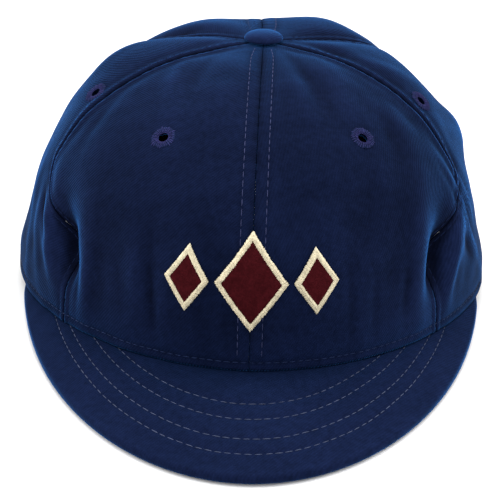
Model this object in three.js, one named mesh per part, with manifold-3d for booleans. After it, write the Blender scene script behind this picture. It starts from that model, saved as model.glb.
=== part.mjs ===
// A soft six-panel baseball cap with a short stitched visor, standing on its rim and visor.
// Millimetres, +Z up, the front of the cap faces -Y, the viewer's right is +X.
// Azimuth is measured in degrees about the vertical, 0 at the front and positive to the right.
// Level runs from 0 at the rim of the crown to 1 under the button.
import * as THREE from 'three';
import { mergeVertices } from 'three/addons/utils/BufferGeometryUtils.js';
import Module from 'manifold-3d';

const wasm = await Module();
wasm.setup();

// Crown
const crownHalfWidth = 93.6;
const crownFrontLength = 96.1;      // from the widest point of the rim to its front
const crownBackLength = 92.9;
const crownHeight = 96.6;             // top of the crown above the surface it rests on
const apexSideways = 2.3;           // the button sits a little to the right
const apexBack = 10.8;              // and behind the widest point
const rimRiseFront = 9.2;           // the rim is sewn on top of the visor here
const rimRiseSide = 4.5;
const rimPlanPower = 1.94;          // 2 is an ellipse in plan
const clothThickness = 1.6;
const seamGap = 0.3;                // between two panels
const seamDip = 1.1;                // how far a seam lies below the cloth beside it
const seamDipWidth = 5;
const centreSeamShare = 0.5;       // the seams at the middle of front and back dip less
const panelPuff = 1.2;              // how far the middle of a panel stands out
const foldDepth = 5;                // the deepest fold; the table below holds shares of it
const apexFadeLength = 30;          // folds and seams flatten out this near to the button
const apexHoleRadius = 3;

// Seams: azimuth at the rim and higher up
const frontSeamRimAzimuth = 49.5;
const frontSeamUpperAzimuth = 70.5;
const rearSeamAzimuth = 115;
const seamTurnStartShare = 0.2;          // levels between which the front seams swing outwards
const seamTurnEndShare = 0.38;

// Visor
const visorHalfWidth = 93.4;
const visorLength = 56.3;           // from the rim to the tip at the centre
const visorWidestBack = 8;
const visorPlanPower = 1.97;
const visorRimAzimuth = 77;          // azimuth of its corners on the rim
const visorEdgeAzimuth = 80;         // and of the ends of its outer edge
const visorThickness = 3.6;
const visorArchHeight = 2.4;        // rise of the visor between the rim and its edge
const visorFlatShare = 0.62;        // share of the half edge that lies on the surface
const rimToVisorGap = 0.3;

// Button
const buttonRadius = 7.7;
const buttonHeight = 3.6;
const buttonEdgeHeight = 0.8;       // of its upright edge, below the dome
const buttonUndercut = 0.7;
const buttonClearance = 0.4;
const postRadius = 2.2;

// Eyelets
const eyeletRadius = 4.9;
const eyeletHoleRadius = 1.8;
const eyeletHeight = 0.8;
const eyeletRounding = 0.65;       // of the ring's two edges
const eyeletBarrelRadius = 2.5;
const eyeletClearance = 0.3;

// Felt ornament
const feltThickness = 1.1;
const edgeThickness = 1.5;
const edgeWidth = 2;
const feltGap = 0.3;
const largeDiamondHalfWidth = 13.5;
const largeDiamondHalfHeight = 17.3;
const smallDiamondHalfWidth = 8.5;
const smallDiamondHalfHeight = 11.5;
const diamondSpacing = 24;          // between the middles of neighbouring diamonds
const ornamentHeight = 34;          // of the middles above the rim

// How full the crown is at an azimuth: a power above 2 gives a squarer shoulder, and the taper
// draws the upper part inwards.
const PROFILE = [
  { azimuth: 0, power: 2.5, taper: -0.05 },
  { azimuth: 50, power: 2.5, taper: 0.0 },
  { azimuth: 95, power: 3.2, taper: 0.15 },
  { azimuth: 180, power: 2.63, taper: 0.07 },
];

// Dents and swellings of the soft cloth: azimuth and level of the middle, depth as a share of
// foldDepth (minus is inwards), width in degrees, reach up and down as a share of the height,
// and how many degrees the fold leans from rim to top.
const FOLDS = [
  { azimuth: -51, level: 0.215, depth: -1.5, width: 5, reach: 0.085, lean: -25 },
  { azimuth: 51.5, level: 0.215, depth: -1.35, width: 5, reach: 0.085, lean: 25 },
  { azimuth: -43.5, level: 0.2, depth: 0.35, width: 4, reach: 0.13, lean: -6 },
  { azimuth: 43.5, level: 0.2, depth: 0.3, width: 4, reach: 0.13, lean: 6 },
  { azimuth: -59, level: 0.24, depth: 0.45, width: 4.5, reach: 0.11, lean: -50 },
  { azimuth: 60, level: 0.24, depth: 0.45, width: 4.5, reach: 0.11, lean: 50 },
  { azimuth: -92, level: 0.05, depth: 0.61, width: 24, reach: 0.1, lean: 0 },
  { azimuth: 92, level: 0.05, depth: 0.47, width: 24, reach: 0.1, lean: 0 },
  { azimuth: -103, level: 0.42, depth: 0.12, width: 12, reach: 0.06, lean: 0 },
  { azimuth: 98.5, level: 0.378, depth: 0.65, width: 11.5, reach: 0.054, lean: 0 },
  { azimuth: -105, level: 0.57, depth: 0.42, width: 18, reach: 0.1, lean: 0 },
  { azimuth: 114, level: 0.614, depth: 0.36, width: 14, reach: 0.08, lean: 0 },
  { azimuth: -146, level: 0.71, depth: 0.46, width: 25, reach: 0.14, lean: 0 },
  { azimuth: 148.5, level: 0.66, depth: 0.85, width: 27.5, reach: 0.142, lean: 0 },
  { azimuth: 180, level: 0.7, depth: 0.33, width: 12, reach: 0.16, lean: 0 },
  { azimuth: 50, level: 0.55, depth: -0.15, width: 5, reach: 0.1, lean: 50 },
  { azimuth: -36, level: 0.19, depth: -0.12, width: 3.5, reach: 0.17, lean: 0 },
  { azimuth: 33, level: 0.2, depth: -0.12, width: 3.5, reach: 0.17, lean: 0 },
];

// Which panels there are, with the seams that bound them, and the eyelet of each
const PANELS = [
  { name: 'front_panel_left', from: -1, to: 0, eyeletAzimuth: -31, eyeletLevel: 0.552 },
  { name: 'front_panel_right', from: 0, to: 1, eyeletAzimuth: 36, eyeletLevel: 0.554 },
  { name: 'side_panel_left', from: -2, to: -1, eyeletAzimuth: -77, eyeletLevel: 0.533 },
  { name: 'side_panel_right', from: 1, to: 2, eyeletAzimuth: 78, eyeletLevel: 0.531 },
  { name: 'back_panel_left', from: -3, to: -2, eyeletAzimuth: -148, eyeletLevel: 0.56 },
  { name: 'back_panel_right', from: 2, to: 3, eyeletAzimuth: 148, eyeletLevel: 0.56 },
];

const COLUMN_SHARES = [0, 0.02, 0.05, 0.1, 0.19, 0.29, 0.39, 0.5, 0.61, 0.71, 0.81, 0.9, 0.95, 0.98, 1];
const ROW_SHARES = [0, 0.05, 0.12, 0.19, 0.26, 0.34, 0.43, 0.52, 0.61, 0.7, 0.79, 0.87, 0.94, 1];
const VISOR_COLUMNS = 40;
const VISOR_SHARES = [0, 0.14, 0.3, 0.46, 0.62, 0.78, 0.9, 1];

const navy = new THREE.MeshStandardMaterial({ color: 0x16264f, roughness: 0.9, metalness: 0 });
const navyThread = new THREE.MeshStandardMaterial({ color: 0x1c2452, roughness: 0.7, metalness: 0 });
const maroonFelt = new THREE.MeshStandardMaterial({ color: 0x3f0a10, roughness: 0.95, metalness: 0 });
const creamThread = new THREE.MeshStandardMaterial({ color: 0xd9cfb4, roughness: 0.7, metalness: 0 });

const radians = (degrees) => degrees * Math.PI / 180;
const clamp = (value) => Math.min(1, Math.max(0, value));
const smooth = (value) => clamp(value) ** 2 * (3 - 2 * clamp(value));
const bell = (value) => Math.exp(-value * value);

function profileAt(azimuth) {
  const turn = Math.min(180, Math.abs(azimuth));
  let row = 0;
  while (row < PROFILE.length - 2 && turn > PROFILE[row + 1].azimuth) row += 1;
  const low = PROFILE[row];
  const high = PROFILE[row + 1];
  const share = smooth((turn - low.azimuth) / (high.azimuth - low.azimuth));
  return {
    power: low.power + (high.power - low.power) * share,
    taper: low.taper + (high.taper - low.taper) * share,
  };
}

function rimPoint(azimuth) {
  const s = Math.sin(radians(azimuth));
  const c = Math.cos(radians(azimuth));
  const reach = (Math.abs(s) ** rimPlanPower + Math.abs(c) ** rimPlanPower) ** (-1 / rimPlanPower);
  const length = c > 0 ? crownFrontLength : crownBackLength;
  const rise = rimRiseSide * smooth((c + 0.6) / 0.6) + (rimRiseFront - rimRiseSide) * smooth(c);
  return new THREE.Vector3(crownHalfWidth * s * reach, -length * c * reach, rise);
}

// How far a point of the crown has come from the rim (1) to the apex (0), and its share of height
function profilePoint(azimuth, level) {
  const { power, taper } = profileAt(azimuth);
  const angle = radians(90 * level);
  const s = Math.sin(angle);
  const c = Math.cos(angle);
  const reach = (s ** power + c ** power) ** (-1 / power);
  return { out: c * reach * (1 - taper * s * reach), up: s * reach };
}

function smoothCrown(azimuth, level) {
  const rim = rimPoint(azimuth);
  const { out, up } = profilePoint(azimuth, level);
  return new THREE.Vector3(
    apexSideways + (rim.x - apexSideways) * out,
    apexBack + (rim.y - apexBack) * out,
    rim.z + (crownHeight - rim.z) * up,
  );
}

// The cloth's outward direction; at the rim it is level, so that the rim ends square
function outwards(azimuth, level) {
  const step = 0.4;
  const low = Math.max(0, level - 0.004);
  const high = Math.min(0.995, level + 0.004);
  const across = smoothCrown(azimuth + step, level).sub(smoothCrown(azimuth - step, level));
  const upwards = smoothCrown(azimuth, high).sub(smoothCrown(azimuth, low));
  const normal = across.cross(upwards).normalize();
  normal.z *= smooth(level / 0.06);
  return normal.normalize();
}

function seamAzimuth(seam, level) {
  const side = Math.sign(seam);
  if (seam === 0) return 0;
  if (Math.abs(seam) === 3) return 180 * side;
  if (Math.abs(seam) === 2) return rearSeamAzimuth * side;
  const turned = smooth((level - seamTurnStartShare) / (seamTurnEndShare - seamTurnStartShare));
  return side * (frontSeamRimAzimuth + (frontSeamUpperAzimuth - frontSeamRimAzimuth) * turned);
}

function distanceFromApex(azimuth, level) {
  const point = smoothCrown(azimuth, level);
  return Math.hypot(point.x - apexSideways, point.y - apexBack);
}

// How far the cloth stands out from the smooth crown
function relief(azimuth, level) {
  const turn = ((azimuth + 180) % 360 + 360) % 360 - 180;
  const fade = smooth(distanceFromApex(azimuth, level) / apexFadeLength);
  let offset = 0;
  for (const panel of PANELS) {
    const from = seamAzimuth(panel.from, level);
    const to = seamAzimuth(panel.to, level);
    if (turn < from || turn > to) continue;
    const share = (turn - from) / (to - from);
    offset += panelPuff * Math.sin(Math.PI * share) * smooth(level / 0.3);
  }
  for (const seam of [-3, -2, -1, 0, 1, 2, 3]) {
    const away = radians(turn - seamAzimuth(seam, level)) * distanceFromApex(azimuth, level);
    const dip = seam % 3 === 0 ? seamDip * centreSeamShare : seamDip;
    offset -= dip * bell(away / seamDipWidth) * (0.3 + 0.7 * smooth(level / 0.2));
  }
  for (const fold of FOLDS) {
    let away = turn - fold.azimuth - fold.lean * (level - fold.level);
    if (away > 180) away -= 360;
    if (away < -180) away += 360;
    offset += foldDepth * fold.depth * bell(away / fold.width) * bell((level - fold.level) / fold.reach);
  }
  return offset * fade;
}

function clothPoint(azimuth, level, beneath) {
  const normal = outwards(azimuth, level);
  return smoothCrown(azimuth, level).addScaledVector(normal, relief(azimuth, level) - beneath);
}

// A closed sheet between an outer and an inner grid of points
function sheet(columns, rows, pointAt) {
  const positions = [];
  const index = [];
  const id = (i, j, side) => (side * (rows + 1) + j) * (columns + 1) + i;
  for (let side = 0; side < 2; side += 1) {
    for (let j = 0; j <= rows; j += 1) {
      for (let i = 0; i <= columns; i += 1) positions.push(...pointAt(i, j, side).toArray());
    }
  }
  const quad = (a, b, c, d) => index.push(a, b, c, a, c, d);
  for (let j = 0; j < rows; j += 1) {
    for (let i = 0; i < columns; i += 1) {
      quad(id(i, j, 0), id(i + 1, j, 0), id(i + 1, j + 1, 0), id(i, j + 1, 0));
      quad(id(i, j, 1), id(i, j + 1, 1), id(i + 1, j + 1, 1), id(i + 1, j, 1));
    }
  }
  for (let i = 0; i < columns; i += 1) {
    quad(id(i, 0, 1), id(i + 1, 0, 1), id(i + 1, 0, 0), id(i, 0, 0));
    quad(id(i, rows, 0), id(i + 1, rows, 0), id(i + 1, rows, 1), id(i, rows, 1));
  }
  for (let j = 0; j < rows; j += 1) {
    quad(id(0, j, 1), id(0, j, 0), id(0, j + 1, 0), id(0, j + 1, 1));
    quad(id(columns, j, 0), id(columns, j, 1), id(columns, j + 1, 1), id(columns, j + 1, 0));
  }
  return outwardFacing(positions, index);
}

// A closed loft through rings of points; closed round the loop or capped at both ends
function loft(rings, closed) {
  const count = rings[0].length;
  const positions = rings.flat().flatMap((point) => point.toArray());
  const index = [];
  const spans = closed ? rings.length : rings.length - 1;
  for (let r = 0; r < spans; r += 1) {
    const next = (r + 1) % rings.length;
    for (let k = 0; k < count; k += 1) {
      const l = (k + 1) % count;
      index.push(r * count + k, next * count + k, next * count + l);
      index.push(r * count + k, next * count + l, r * count + l);
    }
  }
  if (!closed) {
    for (const [ring, flip] of [[0, false], [rings.length - 1, true]]) {
      const middle = positions.length / 3;
      const centre = rings[ring].reduce((sum, point) => sum.add(point), new THREE.Vector3());
      positions.push(...centre.divideScalar(count).toArray());
      for (let k = 0; k < count; k += 1) {
        const a = ring * count + k;
        const b = ring * count + (k + 1) % count;
        if (flip) index.push(middle, b, a);
        else index.push(middle, a, b);
      }
    }
  }
  return outwardFacing(positions, index);
}

function outwardFacing(positions, index) {
  let volume = 0;
  const p = (n) => new THREE.Vector3().fromArray(positions, 3 * n);
  for (let n = 0; n < index.length; n += 3) {
    volume += p(index[n]).dot(p(index[n + 1]).cross(p(index[n + 2])));
  }
  const turned = [];
  for (let n = 0; n < index.length; n += 3) {
    turned.push(index[n], ...(volume > 0 ? [index[n + 1], index[n + 2]] : [index[n + 2], index[n + 1]]));
  }
  const geometry = new THREE.BufferGeometry();
  geometry.setAttribute('position', new THREE.Float32BufferAttribute(positions, 3));
  geometry.setIndex(turned);
  return geometry;
}

function asSolid(geometry) {
  const bare = geometry.clone();
  bare.deleteAttribute('normal');
  bare.deleteAttribute('uv');
  const merged = mergeVertices(bare, 1e-4);
  return new wasm.Manifold(new wasm.Mesh({
    numProp: 3,
    vertProperties: new Float32Array(merged.attributes.position.array),
    triVerts: new Uint32Array(merged.index.array),
  }));
}

function asGeometry(solid) {
  const mesh = solid.getMesh();
  const geometry = new THREE.BufferGeometry();
  geometry.setAttribute('position', new THREE.BufferAttribute(new Float32Array(mesh.vertProperties), 3));
  geometry.setIndex(new THREE.BufferAttribute(new Uint32Array(mesh.triVerts), 1));
  return geometry;
}

// The level at which the cloth ends, a small hole's radius away from the apex
function topLevel(azimuth) {
  let low = 0.5;
  let high = 1;
  for (let n = 0; n < 30; n += 1) {
    const middle = (low + high) / 2;
    if (distanceFromApex(azimuth, middle) > apexHoleRadius) low = middle;
    else high = middle;
  }
  return low;
}

function panelGeometry(panel) {
  const columns = COLUMN_SHARES.length - 1;
  const rows = ROW_SHARES.length - 1;
  const geometry = sheet(columns, rows, (i, j, side) => {
    const middle = (seamAzimuth(panel.from, 0.9) + seamAzimuth(panel.to, 0.9)) / 2;
    const level = ROW_SHARES[j] * topLevel(middle);
    const from = seamAzimuth(panel.from, level);
    const to = seamAzimuth(panel.to, level);
    const inset = (azimuth) => seamGap / 2 / radians(1) / distanceFromApex(azimuth, level) * 1.15;
    const start = from + inset(from);
    const end = to - inset(to);
    const azimuth = start + (end - start) * COLUMN_SHARES[i];
    return clothPoint(azimuth, level, side * clothThickness);
  });
  const { position, turn } = eyeletPlace(panel);
  const drill = new THREE.CylinderGeometry(
    eyeletBarrelRadius + eyeletClearance, eyeletBarrelRadius + eyeletClearance, 5 * clothThickness, 20);
  drill.applyQuaternion(turn);
  drill.translate(position.x, position.y, position.z);
  return asGeometry(asSolid(geometry).subtract(asSolid(drill)));
}

function eyeletPlace(panel) {
  const position = clothPoint(panel.eyeletAzimuth, panel.eyeletLevel, 0);
  const step = 2.5 / 90;
  const across = clothPoint(panel.eyeletAzimuth + 1.6, panel.eyeletLevel, 0)
    .sub(clothPoint(panel.eyeletAzimuth - 1.6, panel.eyeletLevel, 0));
  const upwards = clothPoint(panel.eyeletAzimuth, panel.eyeletLevel + step, 0)
    .sub(clothPoint(panel.eyeletAzimuth, panel.eyeletLevel - step, 0));
  const normal = across.cross(upwards).normalize();
  return { position, turn: new THREE.Quaternion().setFromUnitVectors(new THREE.Vector3(0, 1, 0), normal) };
}

// A worked eyelet: a flat ring on the cloth with a short barrel through the hole
function eyeletGeometry() {
  const foot = eyeletClearance + 0.05;
  const profile = [
    [eyeletHoleRadius, -clothThickness],
    [eyeletBarrelRadius, -clothThickness],
    [eyeletBarrelRadius, foot],
    [eyeletRadius, foot],
    [eyeletRadius, foot + eyeletHeight * 0.45],
    [eyeletRadius - eyeletRounding, foot + eyeletHeight],
    [eyeletHoleRadius + eyeletRounding, foot + eyeletHeight],
    [eyeletHoleRadius, foot + eyeletHeight * 0.5],
    [eyeletHoleRadius, -clothThickness],
  ].map(([x, y]) => new THREE.Vector2(x, y));
  return new THREE.LatheGeometry(profile, 18);
}

function buttonGeometry() {
  const profile = [new THREE.Vector2(0, -clothThickness), new THREE.Vector2(postRadius, -clothThickness),
    new THREE.Vector2(postRadius, buttonClearance), new THREE.Vector2(buttonRadius - buttonUndercut, buttonClearance),
    new THREE.Vector2(buttonRadius, buttonClearance + buttonEdgeHeight)];
  const steps = 6;
  for (let n = 1; n < steps; n += 1) {
    const angle = radians(90 * n / steps);
    profile.push(new THREE.Vector2(buttonRadius * Math.cos(angle),
      buttonClearance + buttonEdgeHeight + (buttonHeight - buttonEdgeHeight) * Math.sin(angle)));
  }
  profile.push(new THREE.Vector2(0, buttonClearance + buttonHeight));
  return new THREE.LatheGeometry(profile, 28);
}

function visorEdge(share) {
  const angle = radians(visorEdgeAzimuth * share);
  const s = Math.sin(angle);
  const c = Math.cos(angle);
  const reach = (Math.abs(s) ** visorPlanPower + c ** visorPlanPower) ** (-1 / visorPlanPower);
  const tip = crownFrontLength + visorLength + visorWidestBack;
  return new THREE.Vector3(visorHalfWidth * s * reach, visorWidestBack - tip * c * reach, 0);
}

function visorGeometry() {
  const cornerRise = rimPoint(visorRimAzimuth).z - rimToVisorGap - visorThickness;
  const rings = [];
  for (let n = 0; n <= VISOR_COLUMNS; n += 1) {
    const share = 2 * n / VISOR_COLUMNS - 1;
    const azimuth = visorRimAzimuth * share;
    const inner = rimPoint(azimuth);
    const normal = outwards(azimuth, 0);
    inner.addScaledVector(normal, -clothThickness);
    inner.z -= rimToVisorGap + visorThickness;
    const outer = visorEdge(share);
    outer.z = cornerRise * smooth((Math.abs(share) - visorFlatShare) / (1 - visorFlatShare));
    const along = outer.clone().sub(inner);
    const width = Math.hypot(along.x, along.y);
    const ring = [];
    const nose = visorThickness / 2 / width;
    const bottomAt = (share) => {
      const point = inner.clone().addScaledVector(along, share * (1 - nose));
      point.z = inner.z + along.z * share
        + visorArchHeight / 2 * Math.min(1, width / visorLength) * Math.sin(Math.PI * share ** 0.8);
      return point;
    };
    for (const step of VISOR_SHARES) ring.push(bottomAt(step));
    for (const angle of [-54, -18, 18, 54]) {
      const point = bottomAt(1).addScaledVector(along.clone().setZ(0).normalize(),
        visorThickness / 2 * Math.cos(radians(angle)));
      point.z += visorThickness / 2 * (1 + Math.sin(radians(angle)));
      ring.push(point);
    }
    for (const step of [...VISOR_SHARES].reverse()) {
      const point = bottomAt(step);
      point.z += visorThickness;
      ring.push(point);
    }
    rings.push(ring);
  }
  return loft(rings, false);
}

function levelAtHeight(azimuth, height) {
  let low = 0;
  let high = 0.9;
  for (let n = 0; n < 30; n += 1) {
    const middle = (low + high) / 2;
    if (smoothCrown(azimuth, middle).z < rimRiseFront + height) low = middle;
    else high = middle;
  }
  return low;
}

// A point of the ornament: millimetres across and up from the middle of the front. The felt
// bridges the dip of the seam and the shallow hollows beside it.
function ornamentPoint(across, upwards, height) {
  const azimuth = across / radians(1) / crownFrontLength;
  const level = levelAtHeight(azimuth, ornamentHeight + upwards);
  const bridge = panelPuff * Math.sin(Math.PI * Math.abs(azimuth) / seamAzimuth(1, level)) * smooth(level / 0.3);
  return smoothCrown(azimuth, level)
    .addScaledVector(outwards(azimuth, level), Math.max(bridge, relief(azimuth, level)) + feltGap + height);
}

const DIAMOND_STEPS = 8;

function feltGeometry(middle, halfWidth, halfHeight) {
  const inset = edgeWidth + feltGap;
  const shrink = 1 - inset * Math.hypot(halfWidth, halfHeight) / (halfWidth * halfHeight);
  return sheet(DIAMOND_STEPS, DIAMOND_STEPS, (i, j, side) => {
    const p = i / DIAMOND_STEPS;
    const q = j / DIAMOND_STEPS;
    return ornamentPoint(middle + halfWidth * shrink * (p - q), halfHeight * shrink * (p + q - 1),
      side === 0 ? feltThickness : 0);
  });
}

function feltEdgeGeometry(middle, halfWidth, halfHeight) {
  const shrink = 1 - edgeWidth * Math.hypot(halfWidth, halfHeight) / (halfWidth * halfHeight);
  const corners = [[1, 0], [0, 1], [-1, 0], [0, -1]];
  const rings = [];
  for (let corner = 0; corner < 4; corner += 1) {
    for (let n = 0; n < DIAMOND_STEPS; n += 1) {
      const [ax, ay] = corners[corner];
      const [bx, by] = corners[(corner + 1) % 4];
      const t = n / DIAMOND_STEPS;
      const u = halfWidth * (ax + (bx - ax) * t);
      const w = halfHeight * (ay + (by - ay) * t);
      const section = [[shrink, 0], [1, 0], [1, edgeThickness * 0.6], [(1 + shrink) / 2, edgeThickness],
        [shrink, edgeThickness * 0.6]];
      rings.push(section.map(([scale, height]) => ornamentPoint(middle + u * scale, w * scale, height)));
    }
  }
  return loft(rings, true);
}

const cap = new THREE.Group();
const object = new THREE.Group();
object.add(cap);

function add(name, geometry, material) {
  const mesh = new THREE.Mesh(geometry, material);
  mesh.name = name;
  cap.add(mesh);
  return mesh;
}

for (const panel of PANELS) add(panel.name, panelGeometry(panel), navy);
for (const panel of PANELS) {
  const eyelet = add(panel.name.replace('panel', 'eyelet'), eyeletGeometry(), navyThread);
  const { position, turn } = eyeletPlace(panel);
  eyelet.position.copy(position);
  eyelet.quaternion.copy(turn);
}
add('visor', visorGeometry(), navy);
const button = add('button', buttonGeometry(), navy);
button.rotation.x = Math.PI / 2;
button.position.set(apexSideways, apexBack, crownHeight);

const DIAMONDS = [
  { name: 'left', middle: -diamondSpacing, halfWidth: smallDiamondHalfWidth, halfHeight: smallDiamondHalfHeight },
  { name: 'middle', middle: 0, halfWidth: largeDiamondHalfWidth, halfHeight: largeDiamondHalfHeight },
  { name: 'right', middle: diamondSpacing, halfWidth: smallDiamondHalfWidth, halfHeight: smallDiamondHalfHeight },
];
for (const { name, middle, halfWidth, halfHeight } of DIAMONDS) {
  add(`felt_${name}`, feltGeometry(middle, halfWidth, halfHeight), maroonFelt);
  add(`felt_edge_${name}`, feltEdgeGeometry(middle, halfWidth, halfHeight), creamThread);
}

// The origin is the middle of the underside of the cap's box
object.updateMatrixWorld(true);
const box = new THREE.Box3().setFromObject(object, true);
cap.position.set(-(box.min.x + box.max.x) / 2, -(box.min.y + box.max.y) / 2, -box.min.z);

export default object;
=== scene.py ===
import math
import random

import bmesh
import bpy
import numpy as np
from mathutils import Matrix, Vector


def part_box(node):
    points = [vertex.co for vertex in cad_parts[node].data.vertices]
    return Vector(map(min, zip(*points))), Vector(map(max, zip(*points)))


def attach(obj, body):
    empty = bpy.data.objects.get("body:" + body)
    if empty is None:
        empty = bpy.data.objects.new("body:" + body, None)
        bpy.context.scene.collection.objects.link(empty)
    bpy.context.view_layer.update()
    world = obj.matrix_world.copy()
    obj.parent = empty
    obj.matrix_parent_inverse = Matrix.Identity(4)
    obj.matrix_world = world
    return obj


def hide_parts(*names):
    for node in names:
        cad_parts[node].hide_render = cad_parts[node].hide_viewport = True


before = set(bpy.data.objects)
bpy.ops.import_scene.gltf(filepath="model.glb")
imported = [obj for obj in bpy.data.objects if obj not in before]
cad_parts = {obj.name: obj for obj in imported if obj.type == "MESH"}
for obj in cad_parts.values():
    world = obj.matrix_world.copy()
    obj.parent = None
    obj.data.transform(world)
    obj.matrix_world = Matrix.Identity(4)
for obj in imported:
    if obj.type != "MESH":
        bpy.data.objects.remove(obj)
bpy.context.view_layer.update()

bl_info = {
    "name": "Six-panel baseball cap",
    "version": (1, 0, 0),
    "blender": (4, 5, 0),
    "location": "View3D > Sidebar > Cap",
    "description": "Builds the cloth, stitching and felt of a six-panel baseball cap",
    "category": "Object",
}

MM = 0.001

# The crown's own measures, in millimetres and degrees, as the solids have them. Azimuth is 0 at
# the front and positive to the viewer's right; level runs from 0 at the rim to 1 under the button.
CROWN_HALF_WIDTH = 93.6
CROWN_FRONT = 96.1
CROWN_BACK = 92.9
CROWN_HEIGHT = 96.6
APEX_SIDEWAYS = 2.3
APEX_BACK = 10.8
RIM_RISE_FRONT = 9.2
RIM_RISE_SIDE = 4.5
RIM_POWER = 1.94
CLOTH = 1.6
SEAM_DIP = 1.1
SEAM_DIP_WIDTH = 5.0
CENTRE_SEAM_SHARE = 0.5
PUFF = 1.2
FOLD_DEPTH = 5.0
FRONT_SEAM_AT_RIM = 49.5
FRONT_SEAM_ABOVE = 70.5
STRAIGHT_SEAMS = {0: 0.0, 2: 115.0, 3: 180.0}  # seams are counted from the front, to both sides
SEAM_TURN_START = 0.2
SEAM_TURN_END = 0.38
APEX_FADE = 30.0
CREASE_STRENGTH = 1.3
APEX_HOLE = 3.0
SLOPE = 134.0  # from the rim to under the button, along the cloth

# Rows of stitches: beside the centre seams, beside the other seams, and above the rim
CENTRE_ROW = 5.0
SIDE_ROW = 2.6
RIM_ROW = 3.3

BUTTON_HEIGHT = 3.6
BUTTON_EDGE = 0.8
BUTTON_POST = 2.2
POST_OVERLAP = 0.6

VISOR_HALF_WIDTH = 93.4
VISOR_LENGTH = 56.3
VISOR_WIDEST_BACK = 8.0
VISOR_POWER = 1.97
VISOR_RIM_CORNER = 77.0
VISOR_EDGE_CORNER = 80.0
VISOR_THICK = 3.6
VISOR_ARCH = 2.4
VISOR_FLAT_SHARE = 0.62
RIM_TO_VISOR = 0.3

# Fullness of the crown at an azimuth: power above 2 is squarer, taper draws the top inwards
PROFILE = [  # azimuth, power, taper
    (0, 2.5, -0.05),
    (50, 2.5, 0.0),
    (95, 3.2, 0.15),
    (180, 2.63, 0.07),
]

# Dents and swellings that the solids have too
FOLDS = [  # azimuth, level, depth share, width in degrees, reach, lean in degrees
    (-51, 0.215, -1.5, 5, 0.085, -25),
    (51.5, 0.215, -1.35, 5, 0.085, 25),
    (-43.5, 0.2, 0.35, 4, 0.13, -6),
    (43.5, 0.2, 0.3, 4, 0.13, 6),
    (-59, 0.24, 0.45, 4.5, 0.11, -50),
    (60, 0.24, 0.45, 4.5, 0.11, 50),
    (-92, 0.05, 0.61, 24, 0.1, 0),
    (92, 0.05, 0.47, 24, 0.1, 0),
    (-103, 0.42, 0.12, 12, 0.06, 0),
    (98.5, 0.378, 0.65, 11.5, 0.054, 0),
    (-105, 0.57, 0.42, 18, 0.1, 0),
    (114, 0.614, 0.36, 14, 0.08, 0),
    (-146, 0.71, 0.46, 25, 0.14, 0),
    (148.5, 0.66, 0.85, 27.5, 0.142, 0),
    (180, 0.7, 0.33, 12, 0.16, 0),
    (50, 0.55, -0.15, 5, 0.1, 50),
    (-36, 0.19, -0.12, 3.5, 0.17, 0),
    (33, 0.2, -0.12, 3.5, 0.17, 0),
]

# Finer creases, which only the cloth has; depth in millimetres
CREASES = [  # azimuth, level, depth, width in degrees, reach, lean in degrees
    (-22.9, 0.192, -0.9, 1.5, 0.12, -9),
    (-27.8, 0.218, 0.4, 1.7, 0.08, -3),
    (-41.3, 0.168, 0.5, 1.4, 0.09, 2),
    (-32.3, 0.235, -0.4, 2.2, 0.08, -12),
    (-44.5, 0.15, -0.45, 1.1, 0.09, 3),
    (-74.8, 0.262, 0.8, 2.5, 0.06, -45),
    (-71.3, 0.129, 0.7, 2.3, 0.1, -3),
    (-63, 0.25, -0.8, 2.4, 0.07, -94),
    (-71.3, 0.491, 0.6, 3.1, 0.09, -18),
    (-61.8, 0.513, -0.5, 3.1, 0.09, -25),
    (-50.3, 0.708, 0.5, 6.0, 0.05, -136),
    (-17, 0.716, 0.4, 6.9, 0.07, 5),
    (-38.5, 0.74, -0.4, 6.6, 0.08, -87),
    (53.2, 0.582, 0.7, 4.5, 0.09, -10),
    (63.2, 0.539, -0.6, 3.4, 0.1, -20),
    (29.5, 0.71, -0.9, 7.1, 0.13, 20),
    (20.4, 0.718, 0.5, 5.9, 0.11, -7),
    (45.6, 0.71, 0.4, 7.4, 0.12, 81),
    (46.1, 0.343, 0.6, 3.8, 0.1, 59),
    (27.9, 0.362, -0.45, 4.3, 0.12, 36),
    (18.7, 0.353, 0.4, 3.6, 0.09, 19),
    (37.3, 0.292, -0.4, 3.6, 0.12, 26),
    (38.6, 0.183, -0.6, 1.4, 0.08, 11),
    (23, 0.179, -0.5, 1.3, 0.11, -1),
    (29.2, 0.175, -0.4, 1.3, 0.1, 3),
    (69, 0.177, 0.6, 2.4, 0.12, -68),
    (63.4, 0.227, -0.5, 2.5, 0.07, -60),
    (64, 0.3, -0.7, 1.5, 0.09, -20),
    (69, 0.3, -0.8, 1.7, 0.11, -20),
    (74, 0.34, -0.5, 1.8, 0.1, -20),
    (91.5, 0.345, 0.15, 3.6, 0.11, -94),
    (-97.9, 0.56, 0.7, 4.7, 0.06, -87),
    (-122.4, 0.72, -0.8, 6.4, 0.07, -61),
    (81.1, 0.776, -0.8, 7.6, 0.07, 67),
    (83.7, 0.618, 0.7, 5.5, 0.09, -51),
    (-57.5, 0.2, 1.0, 2.2, 0.09, -25),
    (-54, 0.2, 0.6, 1.4, 0.06, -25),
    (56, 0.18, 1.1, 2.2, 0.09, 30),
    (54, 0.2, 0.6, 1.4, 0.06, 25),
    (-66, 0.2, 0.6, 2.0, 0.12, -30),
    (-104, 0.28, -0.5, 5, 0.16, 10),
    (108, 0.26, -0.5, 5, 0.16, -10),
    (-150, 0.3, -0.6, 5, 0.2, 10),
    (158, 0.26, -0.6, 5, 0.2, -12),
    (140, 0.2, -0.5, 4, 0.14, 0),
    (-128, 0.16, -0.5, 4, 0.12, 8),
]

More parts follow.
